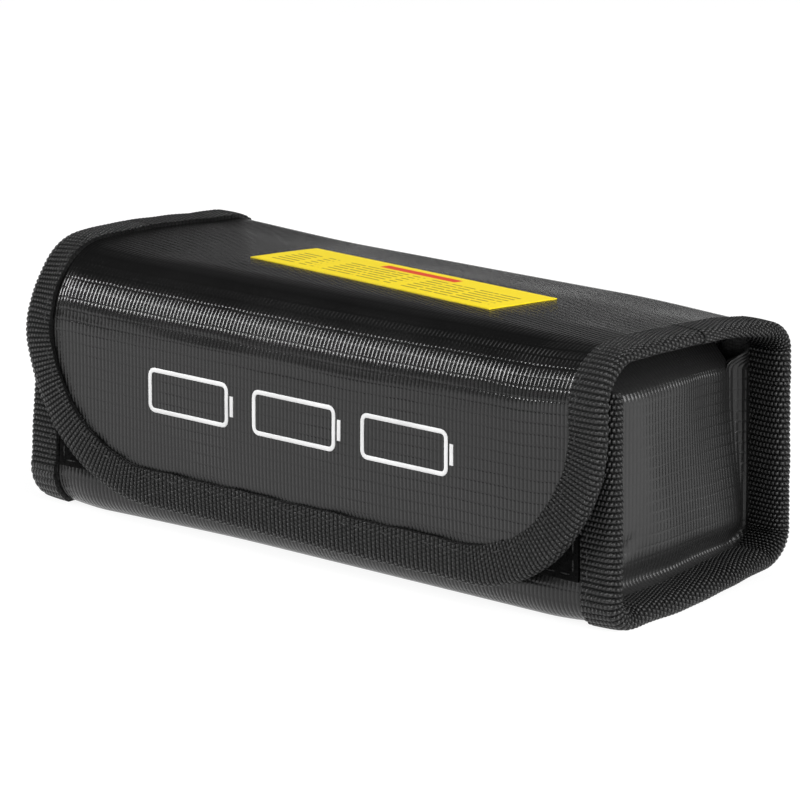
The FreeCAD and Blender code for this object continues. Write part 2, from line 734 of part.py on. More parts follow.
def write():
    os.makedirs("parts", exist_ok=True)
    for item in sub_parts():
        item.Shape.exportStep(f"parts/{item.Label}.step")
        box = item.Shape.BoundBox
        print(
            f"{item.Label:22} solids {len(item.Shape.Solids):3}  x {box.XMin:7.2f} {box.XMax:7.2f}"
            f"  y {box.YMin:7.2f} {box.YMax:7.2f}  z {box.ZMin:6.2f} {box.ZMax:6.2f}"
        )


build()
check()
write()
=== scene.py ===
"""Looks of the soft battery bag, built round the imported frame: its cloth, tapes, seams, strips and print.

The bag is one long strip of coated cloth. It runs from the mouth down the front, along the bottom, up
the back, over the lid and down the flap. wrap() gives any point of it from x, the place along the bag's
length, and s, the distance run along the strip. The tapes, seams and strips are laid on that surface.
Lengths here are millimetres, and are turned into metres where a mesh is made.
"""

import math

import bmesh
import bpy
import numpy as np
from mathutils import Matrix, Vector


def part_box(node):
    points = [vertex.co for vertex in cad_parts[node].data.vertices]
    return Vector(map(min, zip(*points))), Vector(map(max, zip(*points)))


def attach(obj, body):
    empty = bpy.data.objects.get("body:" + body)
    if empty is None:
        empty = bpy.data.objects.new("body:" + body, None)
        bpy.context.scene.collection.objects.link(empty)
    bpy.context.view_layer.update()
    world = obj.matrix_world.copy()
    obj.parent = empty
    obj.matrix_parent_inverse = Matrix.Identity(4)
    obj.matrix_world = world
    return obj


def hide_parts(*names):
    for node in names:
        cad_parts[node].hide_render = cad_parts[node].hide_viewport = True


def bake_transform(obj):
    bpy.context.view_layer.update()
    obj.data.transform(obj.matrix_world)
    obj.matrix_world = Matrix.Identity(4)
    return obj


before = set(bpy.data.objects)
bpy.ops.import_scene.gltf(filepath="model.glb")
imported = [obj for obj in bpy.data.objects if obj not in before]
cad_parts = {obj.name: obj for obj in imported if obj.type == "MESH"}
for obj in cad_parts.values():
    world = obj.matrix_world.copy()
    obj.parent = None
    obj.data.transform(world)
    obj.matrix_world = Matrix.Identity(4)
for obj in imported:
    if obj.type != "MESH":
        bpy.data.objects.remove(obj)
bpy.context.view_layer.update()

MM = 0.001
QUARTER = math.pi / 2
SIDES = (("left", -1), ("right", 1))
rng = np.random.default_rng(7)


def metres(*values):
    return tuple(float(v) * MM for v in values)


def node_box(name):
    low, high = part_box(name)
    return np.array(low) / MM, np.array(high) / MM


# ---------------------------------------------------------------- sizes, most of them read from the frame

wrap_low, wrap_high = node_box("wrap_panel")
tape_low, tape_high = node_box("end_binding_right")
tray_low, tray_high = node_box("end_panel_right")
flap_low = node_box("flap_panel")[0]
loop_low, loop_high = node_box("loop_strip")
hook_low, hook_high = node_box("hook_strip")

CLOTH_X, FRONT_Y, BACK_Y, BASE_Z = wrap_high[0], wrap_low[1], wrap_high[1], wrap_low[2]
CLOTH = node_box("wrap_lining")[0][2] - BASE_Z
LINING = tray_low[0] - node_box("end_lining_right")[0][0]
WALL = CLOTH + LINING
FIN = 2 * WALL
TAPE = tape_high[0] - CLOTH_X
TAPE_WIDTH = tape_high[0] - tape_low[0]
MOUTH_Z = tray_high[2]
MOUTH_TAPE_X = node_box("mouth_binding")[1][0]
LID_Z = node_box("lid_panel")[1][2]
FLAP_Y = flap_low[1]
FLAP_EDGE_Z = flap_low[2]
END_X = tray_low[0] + CLOTH

BOTTOM_R = 9.0
BACK_R = 8.0
FLAP_CORNER = 42.0
EAR_BEND = 9.2
EAR_TAPER = 14.0
EAR_TAPE_WIDTH = 5.5
STITCH_LENGTH = 2.8
STITCH_PITCH = 4.4
STITCH_INSET = 1.8
LABEL_LENGTH = 84.0
LABEL_WIDTH = 22.0
LABEL_CENTRE = (-0.7, -1.0)
LABEL_TURN = math.radians(-4.9)

# ---------------------------------------------------------------- the strip of cloth


def smooth(value, low, high):
    """0 at low, 1 at high, and an eased step between. low may be the larger one."""
    t = np.clip((value - low) / (high - low), 0.0, 1.0)
    return t * t * (3 - 2 * t)


def hat(value, low, high):
    """Rises and falls once between low and high, and is 0 outside."""
    return np.sin(math.pi * np.clip((value - low) / (high - low), 0.0, 1.0))


def ridge(value, centre, width):
    return np.exp(-(((value - centre) / width) ** 2))


def fullness(x):
    """1 at mid-length and 0 at the bag's ends."""
    return np.cos(QUARTER * np.clip(x / CLOTH_X, -1, 1)) ** 0.7


def inside(x):
    """1 along the bag and 0 at its ends, where the tapes hold the cloth."""
    return smooth(np.abs(x), CLOTH_X, 70.0)


def front_radius(x):
    """The fold over the front edge is tightest at the right end and slackest at the left one."""
    return 17.0 - 2.0 * smooth(x, 10.0, 70.0) - 3.8 * smooth(x, 66.0, 92.0)


AT_BOTTOM_FRONT = MOUTH_Z - BASE_Z - BOTTOM_R
AT_BOTTOM = AT_BOTTOM_FRONT + QUARTER * BOTTOM_R
AT_BOTTOM_BACK = AT_BOTTOM + (BACK_Y - FRONT_Y - 2 * BOTTOM_R)
AT_BACK = AT_BOTTOM_BACK + QUARTER * BOTTOM_R
AT_BACK_FOLD = AT_BACK + (LID_Z - BACK_R - BASE_Z - BOTTOM_R)
AT_LID = AT_BACK_FOLD + QUARTER * BACK_R


def at_lid_y(y):
    return AT_LID + (BACK_Y - BACK_R) - y


def at_back_z(z):
    return AT_BACK + z - BASE_Z - BOTTOM_R


def at_front_fold(x):
    return at_lid_y(FLAP_Y + front_radius(x))


def at_flap(x):
    return at_front_fold(x) + QUARTER * front_radius(x)


def at_flap_z(x, z):
    """The run along the strip at height z on the flap. Greater heights go on over the fold."""
    return at_flap(x) + LID_Z - front_radius(x) - z


def flap_level(x, s):
    """The height that at_flap_z() turns into s."""
    return at_flap(x) + LID_Z - front_radius(x) - s


def tuck(x, s):
    """How far the front panel leans in under the flap: most at the left, and nothing at the right end."""
    lean = 3.0 + 2.5 * smooth(x, -20.0, -80.0)
    return lean * smooth(MOUTH_Z - s, 38.0, 54.0) * smooth(x, 90.0, 66.0)


def pouch_swell(x, s):
    """The pouch's fullness, wrinkles, crisp bottom edge and leaning mouth."""
    back = hat(s, AT_BOTTOM_BACK + 5, AT_BACK_FOLD + 4) * fullness(x) * 1.3
    folds = 0.28 * np.sin(x / 11.0 + s / 17.0) + 0.2 * np.sin(x / 6.1 - s / 9.0 + 1.3)
    wrinkles = hat(s, AT_BACK, AT_BACK_FOLD) * inside(x) * folds
    edge = 2.6 * hat(s, AT_BOTTOM_FRONT - 3, AT_BOTTOM + 3) ** 2 * (0.4 + 0.6 * inside(x))
    level = MOUTH_Z - s
    bulge = 3.6 * smooth(level, 48.0, 6.0) * smooth(s, AT_BOTTOM + 1, AT_BOTTOM_FRONT)
    return back + wrinkles + edge + bulge * smooth(x, -20.0, -95.0) - tuck(x, s)


def lid_swell(x, s):
    """The lid's dome, highest at the left end, its slope to the back and creases near its front fold."""
    y = BACK_Y - BACK_R - (s - AT_LID)
    height = 0.25 + 0.25 * fullness(x) + 1.2 * smooth(x, -60, -92)
    dome = hat(s, at_lid_y(20.0), at_lid_y(-42.0)) * height
    slope = 1.6 * np.clip((y + 14.0) / 44.0, 0, 1) * smooth(y, 42.0, 30.0) * smooth(x, -100, -40)
    right = 0.16 * np.sin((x - s) / 5.2) * smooth(x, 10, 80)
    left = 0.12 * np.sin((x + s) / 7.1) * smooth(x, -20, -80)
    return dome - slope + ridge(s, at_lid_y(-16.0), 9.0) * inside(x) * (right + left)


def flap_swell(x, s):
    """The flap's slight belly, two creases under the fold and its corners standing off."""
    flap = at_flap(x)
    down = np.clip((s - flap) / 45.0, 0.0, 1.2)
    slack = 2.2 * hat(s, at_front_fold(x) - 2.0, flap + 6.0) ** 2 * smooth(x, -78.0, -90.0)
    hem = down**2 * (1.0 * smooth(np.abs(x), 30, 84) + 0.3 * np.sin(x / 13.0 + 0.8))
    belly = 0.5 * np.sin(math.pi * np.clip(down, 0, 1)) * fullness(x)
    crease = ridge(s, flap - 3.4 + 0.4 * np.sin(x / 17.0), 0.8) * (0.28 + 0.10 * np.sin(x / 7.0))
    second = ridge(s, flap - 0.6 + 0.6 * np.sin(x / 23.0 + 1), 1.1) * (0.14 + 0.08 * np.sin(x / 9.0 + 2))
    return hem + belly - (crease + second) * inside(x) - slack


def swell(x, s):
    """How far the cloth stands out from its plain section."""
    return pouch_swell(x, s) + lid_swell(x, s) + flap_swell(x, s)


def plain_section(x, s):
    """The strip's section without its slack: y, z and the outward direction's y and z."""
    radius = front_radius(x)
    fold, flap = at_front_fold(x), at_flap(x)
    turn = [
        math.pi + 0 * s,
        math.pi + (s - AT_BOTTOM_FRONT) / BOTTOM_R,
        1.5 * math.pi + 0 * s,
        1.5 * math.pi + (s - AT_BOTTOM_BACK) / BOTTOM_R,
        0 * s,
        (s - AT_BACK_FOLD) / BACK_R,
        QUARTER + 0 * s,
        QUARTER + (s - fold) / radius,
        math.pi + 0 * s,
    ]
    across = [
        FRONT_Y + 0 * s,
        FRONT_Y + BOTTOM_R * (1 + np.cos(turn[1])),
        FRONT_Y + BOTTOM_R + s - AT_BOTTOM,
        BACK_Y - BOTTOM_R * (1 - np.cos(turn[3])),
        BACK_Y + 0 * s,
        BACK_Y - BACK_R * (1 - np.cos(turn[5])),
        BACK_Y - BACK_R - (s - AT_LID),
        FLAP_Y + radius * (1 + np.cos(turn[7])),
        FLAP_Y + 0 * s,
    ]
    up = [
        MOUTH_Z - s,
        BASE_Z + BOTTOM_R * (1 + np.sin(turn[1])),
        BASE_Z + 0 * s,
        BASE_Z + BOTTOM_R * (1 + np.sin(turn[3])),
        BASE_Z + BOTTOM_R + s - AT_BACK,
        LID_Z - BACK_R * (1 - np.sin(turn[5])),
        LID_Z + 0 * s,
        LID_Z - radius * (1 - np.sin(turn[7])),
        LID_Z - radius - (s - flap),
    ]
    ends = (AT_BOTTOM_FRONT, AT_BOTTOM, AT_BOTTOM_BACK, AT_BACK, AT_BACK_FOLD, AT_LID, fold, flap)
    here = [s < end for end in ends]
    y, z, angle = (np.select(here, run[:-1], run[-1]) for run in (across, up, turn))
    return y, z, np.cos(angle), np.sin(angle)


def settled(x, y, z):
    """The bag as it stands, out of square: drawn in at its back right corner, and longer at its left."""
    slimmer = 1.0 + 2.0 * smooth(x, -90.0, 60.0) + 3.8 * smooth(x, 45.0, 92.0)
    lower = smooth(y, 10.0, 34.0) * smooth(z, 20.0, 62.0) * (0.6 + 0.4 * smooth(x, 40.0, 92.0))
    raised = 3.2 * smooth(y, -15.0, 32.0) * smooth(z, 26.0, 0.0) * smooth(x, 50.0, 92.0)
    y = y - smooth(y, 0.0, BACK_Y) * slimmer
    return np.stack([x - 1.6 * smooth(x, -50.0, -92.0), y, z - lower + raised], axis=-1)


def wrap_face(x, s):
    y, z, out_y, out_z = plain_section(x, s)
    out = swell(x, s)
    return settled(x, y + out * out_y, z + out * out_z)


def normals_of(face, u, v, step=0.15):
    """Outward directions of a surface at u, v, from its slope either side."""
    along_u = face(u + step, v) - face(u - step, v)
    along_v = face(u, v + step) - face(u, v - step)
    normal = np.cross(along_v, along_u)
    return normal / np.maximum(np.linalg.norm(normal, axis=-1, keepdims=True), 1e-9)


def lifted(face, u, v, out, side=1):
    """Points off a surface, along its outward direction."""
    u, v, out = np.broadcast_arrays(np.asarray(u, float), np.asarray(v, float), np.asarray(out, float))
    return face(u, v) + side * normals_of(face, u, v) * out[..., None]


def wrap(x, s, out=0.0):
    """A point on the strip's outer face, or off it along the outward direction."""
    return lifted(wrap_face, x, s, out)


def front(x, z, out=0.0):
    """The same surface, by height on the flap."""
    return wrap(x, at_flap_z(np.asarray(x, float), np.asarray(z, float)), out)


# ---------------------------------------------------------------- meshes


def new_piece(name, points, faces, slot, uv=None):
    """A mesh piece from points in millimetres. uv is one (u, v) in millimetres for each point."""
    mesh = bpy.data.meshes.new(name)
    mesh.from_pydata((np.asarray(points, float).reshape(-1, 3) * MM).tolist(), [], faces)
    if uv is not None:
        layer = mesh.uv_layers.new(name="weave")
        corner = np.zeros(len(mesh.loops), np.int32)
        mesh.loops.foreach_get("vertex_index", corner)
        layer.data.foreach_set("uv", np.asarray(uv, np.float32).reshape(-1, 2)[corner].ravel())
    mesh.shade_smooth()
    mesh.materials.append(LOOKS[slot])
    piece = bpy.data.objects.new(name, mesh)
    bpy.context.scene.collection.objects.link(piece)
    turn_outward(mesh)
    mesh.set_sharp_from_angle(angle=math.radians(55))
    return piece


def turn_outward(mesh):
    work = bmesh.new()
    work.from_mesh(mesh)
    bmesh.ops.recalc_face_normals(work, faces=work.faces)
    work.to_mesh(mesh)
    work.free()


def finish_piece(piece, slot, nodes, body=None, bend=None):
    """Puts a piece on its body, or, when a bend is given, only bakes its place into its mesh; and hides the
    CAD nodes it stands for.
    """
    if bend:
        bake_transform(piece)
    else:
        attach(piece, body)
    if nodes:
        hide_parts(*nodes)


def grid_faces(rows, columns, closed=False):
    index = np.arange(rows * columns).reshape(rows, columns)
    if closed:
        index = np.concatenate([index, index[:, :1]], axis=1)
    near, far = index[:, :-1], index[:, 1:]
    return np.stack([near[:-1], near[1:], far[1:], far[:-1]], axis=-1).reshape(-1, 4)


def tube_faces(rings, around):
    """Faces of a tube with flat ends."""
    ends = [list(range(around)), list(range((rings - 1) * around, rings * around))]
    return grid_faces(rings, around, closed=True).tolist() + ends


def repeated(faces, count, size):
    """The faces of count like shapes, each with size points of its own."""
    return [[i + n * size for i in face] for n in range(count) for face in faces]


def open_edges(faces):
    """The edges that only one face has, each in that face's own direction."""
    edges = np.stack([faces, np.roll(faces, -1, axis=1)], axis=-1).reshape(-1, 2)
    size = faces.max() + 1
    forward, backward = edges[:, 0] * size + edges[:, 1], edges[:, 1] * size + edges[:, 0]
    return edges[~np.isin(forward, backward)]


def two_sided(faces, count):
    """Faces of a closed sheet: count points on its near side, and as many after them on its far one."""
    rim = open_edges(faces)
    sides = np.stack([rim[:, 1], rim[:, 0], rim[:, 0] + count, rim[:, 1] + count], axis=-1)
    return np.concatenate([faces, faces[:, ::-1] + count, sides]).tolist()


def shell(name, points, faces, uv, near, far, slot):
    """A closed sheet of cloth between two depths under a surface of four-sided faces.

    uv is the cloth laid out flat, in millimetres.
    """
    corners = points[faces]
    vectors = np.cross(corners[:, 2] - corners[:, 0], corners[:, 3] - corners[:, 1]) / 2
    out = np.zeros_like(points)
    for corner in range(4):
        np.add.at(out, faces[:, corner], vectors)
    out /= np.maximum(np.linalg.norm(out, axis=1, keepdims=True), 1e-9)
    both = np.concatenate([points - out * near, points - out * far])
    piece = new_piece(name, both, two_sided(faces, len(points)), slot, np.concatenate([uv, uv]))
    return piece


def lined_cloth(pieces, nodes, points, faces, uv, look="coated_cloth", **move):
    """Cloth and the lining under it. pieces and nodes name the cloth's first, then the lining's."""
    cloth = shell(pieces[0], points, faces, uv, 0.0, CLOTH, look)
    finish_piece(cloth, "coated_cloth", nodes[:1], **move)
    lining = shell(pieces[1], points, faces, uv, CLOTH, WALL, "lining_cloth")
    finish_piece(lining, "lining_cloth", nodes[1:], **move)


def spaced(low, high, step):
    return np.linspace(low, high, max(2, int(round(abs(high - low) / step)) + 1))


def rounded(corner, before, after, radius):
    """Points of the arc that rounds a corner of a path."""
    u, v = before - corner, after - corner
    u, v = u / np.linalg.norm(u), v / np.linalg.norm(v)
    half = math.acos(np.clip(np.dot(u, v), -1, 1)) / 2
    centre = corner + (u + v) / np.linalg.norm(u + v) * radius / math.sin(half)
    first = corner + u * radius / math.tan(half) - centre
    last = corner + v * radius / math.tan(half) - centre
    sweep = math.pi - 2 * half
    shares = np.linspace(0, 1, max(3, int(radius * sweep / 0.4)))[:, None]
    arc = first * np.sin((1 - shares) * sweep) + last * np.sin(shares * sweep)
    return centre + arc / math.sin(sweep * 0.99999)


def track(corners, radius, step):
    """Even steps along a path with rounded corners: the run so far, the place and the way on."""
    corners = [np.array(c, float) for c in corners]
    path = [corners[0][None]]
    path += [rounded(c, b, a, radius) for b, c, a in zip(corners, corners[1:], corners[2:])]
    path = np.concatenate(path + [corners[-1][None]])
    path = path[np.concatenate([[True], np.linalg.norm(np.diff(path, axis=0), axis=1) > 1e-6])]
    run = np.concatenate([[0], np.cumsum(np.linalg.norm(np.diff(path, axis=0), axis=1))])
    even = np.linspace(0, run[-1], int(round(run[-1] / step)) + 1)
    place = np.stack([np.interp(even, run, path[:, 0]), np.interp(even, run, path[:, 1])], axis=-1)
    way = np.gradient(place, axis=0)
    return even, place, way / np.linalg.norm(way, axis=1, keepdims=True)


def left_of(way):
    return np.stack([-way[:, 1], way[:, 0]], axis=-1)


# ---------------------------------------------------------------- materials

RIB = 1.3
RIB_STEP = RIB / 4


class Wire:
    """A socket of a node tree that takes arithmetic."""

    def __init__(self, tree, socket):
        self.tree, self.socket = tree, socket

    def _math(self, operation, *others):
        node = self.tree.nodes.new("ShaderNodeMath")
        node.operation = operation
        for slot, value in zip(node.inputs, (self, *others)):
            if isinstance(value, Wire):
                self.tree.links.new(value.socket, slot)
            else:
                slot.default_value = value
        return Wire(self.tree, node.outputs[0])

    def __add__(self, other):
        return self._math("ADD", other)

    def __sub__(self, other):
        return self._math("SUBTRACT", other)

    def __mul__(self, other):
        return self._math("MULTIPLY", other)

    def __pow__(self, other):
        return self._math("POWER", other)

    def sin(self):
        return self._math("SINE")

    def abs(self):
        return self._math("ABSOLUTE")

    def floor(self):
        return self._math("FLOOR")

    def step(self, low, high):
        """An eased step from 0 at low to 1 at high. low may be the larger one."""
        node = self.tree.nodes.new("ShaderNodeMapRange")
        node.interpolation_type = "SMOOTHSTEP"
        self.tree.links.new(self.socket, node.inputs["Value"])
        node.inputs["From Min"].default_value = min(low, high)
        node.inputs["From Max"].default_value = max(low, high)
        node.inputs["To Min"].default_value = 0.0 if low < high else 1.0
        node.inputs["To Max"].default_value = 1.0 if low < high else 0.0
        return Wire(self.tree, node.outputs["Result"])

    def ramp(self, *stops):
        """Colours along the value: each stop is (place, grey level or colour)."""
        node = self.tree.nodes.new("ShaderNodeValToRGB")
        self.tree.links.new(self.socket, node.inputs[0])
        while len(node.color_ramp.elements) < len(stops):
            node.color_ramp.elements.new(0.5)
        for element, (place, colour) in zip(node.color_ramp.elements, stops):
            element.position = place
            element.color = (*colour, 1) if hasattr(colour, "__len__") else (colour, colour, colour, 1)
        return Wire(self.tree, node.outputs[0])


def mixed(factor, ground, colour):
    """The ground's colour, and a fixed one where factor is 1."""
    node = factor.tree.nodes.new("ShaderNodeMix")
    node.data_type = "RGBA"
    factor.tree.links.new(factor.socket, node.inputs["Factor"])
    factor.tree.links.new(ground.socket, node.inputs[6])
    node.inputs[7].default_value = (*colour, 1)
    return Wire(factor.tree, node.outputs[2])


class Look:
    """A material with one Principled surface, and short ways to drive it."""

    def __init__(self, name):
        self.material = bpy.data.materials.new(name)
        self.material.use_nodes = True
        self.tree = self.material.node_tree
        self.surface = self.tree.nodes["Principled BSDF"]

    def set(self, **values):
        for name, value in values.items():
            self.surface.inputs[name.replace("_", " ")].default_value = value

    def drive(self, name, wire):
        self.tree.links.new(wire.socket, self.surface.inputs[name])

    def weave(self):
        """The cloth's own coordinates, in millimetres."""
        node = self.tree.nodes.new("ShaderNodeUVMap")
        node.uv_map = "weave"
        split = self.tree.nodes.new("ShaderNodeSeparateXYZ")
        self.tree.links.new(node.outputs[0], split.inputs[0])
        return Wire(self.tree, split.outputs[0]), Wire(self.tree, split.outputs[1])

    def noise(self, scale, detail=2.0, stretch=(1, 1, 1)):
        """Noise fixed to the object, with scale in features per metre."""
        place = self.tree.nodes.new("ShaderNodeTexCoord")
        mapping = self.tree.nodes.new("ShaderNodeMapping")
        mapping.inputs["Scale"].default_value = stretch
        node = self.tree.nodes.new("ShaderNodeTexNoise")
        node.inputs["Scale"].default_value = scale
        node.inputs["Detail"].default_value = detail
        self.tree.links.new(place.outputs["Object"], mapping.inputs[0])
        self.tree.links.new(mapping.outputs[0], node.inputs["Vector"])
        return Wire(self.tree, node.outputs["Fac"])

    def bump(self, height, depth):
        """Relief of the given depth in millimetres."""
        node = self.tree.nodes.new("ShaderNodeBump")
        node.inputs["Strength"].default_value = 1.0
        node.inputs["Distance"].default_value = depth * MM
        self.tree.links.new(height.socket, node.inputs["Height"])
        self.tree.links.new(node.outputs[0], self.surface.inputs["Normal"])


def coated_cloth(name, tone, dullness):
    """Black coated glass cloth: round ribs down the strip, notched at even steps, under a satin skin.

    The notches are deepest in patches. tone and dullness are the lowest and highest grey level and roughness.
    """
    look = Look(name)
    across, along = look.weave()
    wander = look.noise(90)
    rib_pitch, pinch_pitch, notch_pitch = 1.18, 1.35, 2.6
    phase = across * (math.pi / rib_pitch) + wander * 0.9
    rib = phase.sin().abs()
    parity = (phase * (1 / math.pi)).floor() * QUARTER
    pinch = (along * (math.pi / pinch_pitch) + parity).sin().abs() ** 0.5
    row = (along * (math.pi / notch_pitch) + wander * 0.8).sin().abs().step(0.0, 0.6)
    drawn = look.noise(24).step(0.5, 0.64)
    grain = look.noise(2600, 3)
    look.bump(rib * (pinch * 0.12 + row * (drawn * 0.45 + 0.4) + 0.5) + grain * 0.04, 0.085)
    patch = look.noise(38, 3)
    # Base colour: random patches of tone, plus painted shade that darkens the grooves between the ribs.
    look.drive("Base Color", (patch * 0.6 + rib * 0.4).ramp((0.2, tone[0]), (0.8, tone[1])))
    look.drive("Roughness", (patch + grain * 0.3).ramp((0.3, dullness[0]), (0.9, dullness[1])))
    look.set(IOR=1.43)
    return look.material


def lining_cloth():
    """Matt plain-woven inner cloth."""
    look = Look("lining_cloth")
    across, along = look.weave()
    warp = (across * (math.pi / 0.9)).sin().abs()
    weft = (along * (math.pi / 0.9)).sin().abs()
    fuzz = look.noise(1800, 3)
    look.bump(warp * 0.5 + weft * 0.5 + fuzz * 0.3, 0.16)
    tone = warp * 0.3 + weft * 0.3 + look.noise(60) * 0.5
    look.drive("Base Color", tone.ramp((0.2, 0.022), (0.9, 0.045)))
    look.set(Roughness=0.85, Sheen_Weight=0.15, Sheen_Roughness=0.5)
    return look.material


def binding_tape():
    """Ribbed nylon tape: each rib across it is a row of beads, set half a bead off from the next."""
    look = Look("binding_tape")
    along, across = look.weave()
    row = (along * (1 / RIB)).floor()
    bead = (across * (math.pi / 1.05) + row * QUARTER).sin().abs()
    rib = (along * (math.pi / RIB)).sin().abs()
    fibre = look.noise(5200)
    height = (bead**0.8) * (rib**0.6)
    look.bump(height + fibre * 0.16, 0.42)
    # Base colour follows the bead height: painted shade in the valleys between beads and ribs, lighter bead
    # tops, and random fibre tone.
    tone = height * 0.75 + fibre * 0.35
    look.drive("Base Color", tone.ramp((0.15, 0.001), (0.60, 0.006), (1.0, 0.030)))
    look.drive("Roughness", (height + fibre * 0.5).ramp((0.2, 0.85), (0.7, 0.34)))
    look.set(IOR=1.43)
    return look.material


def plain_look(name, colour, roughness, grain_scale, grain_depth, **more):
    """A surface with fine grain and slight changes of tone."""
    look = Look(name)
    shade = [c * 0.82 for c in colour]
    look.drive("Base Color", look.noise(grain_scale * 0.1, 3).ramp((0.3, shade), (0.7, colour)))
    grain = look.noise(grain_scale, 3)
    look.bump(grain, grain_depth)
    look.drive("Roughness", grain.ramp((0.2, roughness * 0.9), (0.8, min(1.0, roughness * 1.1))))
    look.set(**more)
    return look.material


def label_film():
    """Yellow film with plain bars in place of wording: one red title bar over rows of thin dark bars."""
    look = Look("label_film")
    across, along = look.weave()
    row = along * (1 / 2.1)
    line = (row - row.floor() - 0.5).abs().step(0.20, 0.10)
    top, bottom = LABEL_WIDTH / 2 - 7.2, 2.4 - LABEL_WIDTH / 2
    rows = (along - top).step(0.3, 0.0) * (along - bottom).step(0.0, 0.3)
    length = (across.abs() - (LABEL_LENGTH / 2 - 4.0)).step(0.3, 0.0)
    dashes = look.noise(420, 1, (1, 0.05, 0.05)).step(0.38, 0.44)
    bars = (line * rows * length * dashes).ramp((0.0, (0.93, 0.72, 0.006)), (1.0, (0.26, 0.19, 0.004)))
    title_height = (along - (LABEL_WIDTH / 2 - 4.2)).abs() - 1.5
    title = title_height.step(0.15, 0.0) * (across.abs() - 13.0).step(0.2, 0.0)
    look.drive("Base Color", mixed(title, bars, (0.72, 0.05, 0.01)))
    look.bump(look.noise(700), 0.03)
    look.set(Roughness=0.36)
    return look.material


LOOKS = {
    "coated_cloth": coated_cloth("coated_cloth", (0.003, 0.007), (0.17, 0.27)),
    # end_cloth is the coated cloth with a duller coat and a lighter base colour: painted light for the end
    # panels, which face the side light. The ears share it.
    "end_cloth": coated_cloth("end_cloth", (0.013, 0.021), (0.24, 0.34)),
    "lining_cloth": lining_cloth(),
    "binding_tape": binding_tape(),
    "loop_pile": plain_look("loop_pile", (0.004,) * 3, 0.95, 3000, 0.1, IOR=1.2),
    "hook_field": plain_look("hook_field", (0.016,) * 3, 0.45, 1500, 0.05),
    "thread": plain_look("thread", (0.016,) * 3, 0.6, 4000, 0.05),
    "label_film": label_film(),
    "print_ink": plain_look("print_ink", (0.86,) * 3, 0.42, 800, 0.03),
    "floor": plain_look(
        "floor", (0.15,) * 3, 0.8, 30, 0.0, Emission_Color=(1, 1, 1, 1), Emission_Strength=0.9
    ),
}

# ---------------------------------------------------------------- bends between bodies, given as data and not applied here

BACK_BEND = {
    "from": "pouch",
    "to": "lid",
    "start": metres(0, BACK_Y, LID_Z - 10),
    "end": metres(0, BACK_Y - 16, LID_Z),
}
FRONT_BEND = {
    "from": "lid",
    "to": "flap",
    "start": metres(0, FLAP_Y + 9, LID_Z),
    "end": metres(0, FLAP_Y, LID_Z - 17),
}

# ---------------------------------------------------------------- cloth of the strip

STRIP_STEP = 1.25
LID_SEAM = at_lid_y(-2.0)
BACK_SEAM = at_back_z(22.0)
TAPE_JOINT = at_back_z(48.0)
CLOTH_END = CLOTH_X - 0.4


def strip_layers(name, nodes, start, end, **move):
    """Cloth and lining between two runs along the strip. end may be a function of x."""
    xs = spaced(-CLOTH_END, CLOTH_END, STRIP_STEP)
    last = end(xs) if callable(end) else np.full_like(xs, end)
    share = np.linspace(0, 1, int(np.max(last - start) / STRIP_STEP) + 2)[:, None]
    s = start + (last - start) * share
    x = np.broadcast_to(xs, s.shape)
    points, uv = wrap(x, s).reshape(-1, 3), np.stack([x, s], axis=-1).reshape(-1, 2)
    lined_cloth([f"{name}_outer", f"{name}_inner"], nodes, points, grid_faces(*s.shape), uv, **move)


def flap_edge(x, inset):
    """Height of the flap's lower edge at x, moved in by inset, with its rounded corners."""
    radius = FLAP_CORNER - inset
    over = np.clip(np.abs(x) - (CLOTH_X + TAPE - FLAP_CORNER), 0, radius * 0.999)
    return FLAP_EDGE_Z - TAPE + FLAP_CORNER - np.sqrt(radius**2 - over**2)


def flap_end(x):
    return at_flap_z(x, np.minimum(flap_edge(x, TAPE + 0.6), 46.0))


def make_strip():
    strip_layers("pouch", ["wrap_panel", "wrap_lining"], 0.2, BACK_SEAM, body="pouch")
    strip_layers("lid", ["lid_panel", "lid_lining"], BACK_SEAM, LID_SEAM, bend=BACK_BEND)
    strip_layers("flap", ["flap_panel", "flap_lining"], LID_SEAM, flap_end, bend=FRONT_BEND)


# ---------------------------------------------------------------- end trays

FILLET = 4.5
TRAY_TOP = 46.0


def plate_swell(y, z):
    """The end panel's swell: out to a soft upright ridge near the front, and away towards the back."""
    crest = -11.0 + (z - 8.0) / 12.0
    rise = (y + 30.0) * 2.3 / (crest + 30.0)
    fall = 2.3 + (y - crest) * (0.04 - 0.10 * smooth(z, 6.0, 44.0))
    bulge = -0.35 * np.log(np.exp(-rise / 0.35) + np.exp(-fall / 0.35))
    corner = np.abs((y + 27.0) * 0.55 - (z - 5.0) * 0.83)
    crease = ridge(corner, 0.0, 1.3) * hat(y, -28.0, -9.0)
    ripple = 0.14 * np.sin(y / 3.1 + z / 9.0)
    return bulge * smooth(z, 2.0, 12.0) - 0.8 * crease + ripple


def tray_strip(side, s, share):
    """The tray's turned-out edge and its round into the plate. share is 0 at the edge, 1 at the plate."""
    y, z, out_y, out_z = plain_section(0 * s, s)
    sweep = QUARTER * (1 - 0.78 * smooth(z, TRAY_TOP + 3, TRAY_TOP + 8))
    straight = CLOTH_END - END_X - FILLET
    q = share * (straight + FILLET * sweep)
    turn = np.maximum(q - straight, 0) / FILLET
    x = CLOTH_END - np.minimum(q, straight) - FILLET * np.sin(turn)
    depth = FIN + FILLET * (1 - np.cos(turn))
    plate = smooth(q, straight * 0.5, straight + FILLET * QUARTER)
    depth = depth - swell(side * x, s) * (1 - plate) + tuck(side * x, s) * plate
    y, z = y - depth * out_y, z - depth * out_z
    x = x + plate_swell(y, z) * smooth(turn, 0.2, QUARTER) * smooth(z, TRAY_TOP + 4, TRAY_TOP)
    reach = straight + FILLET * sweep - q
    inner = FIN + FILLET
    uv = np.stack([y + out_y * (reach + depth - inner), z + out_z * (reach + depth - inner)], axis=-1)
    return np.stack([x, y, z], axis=-1), uv


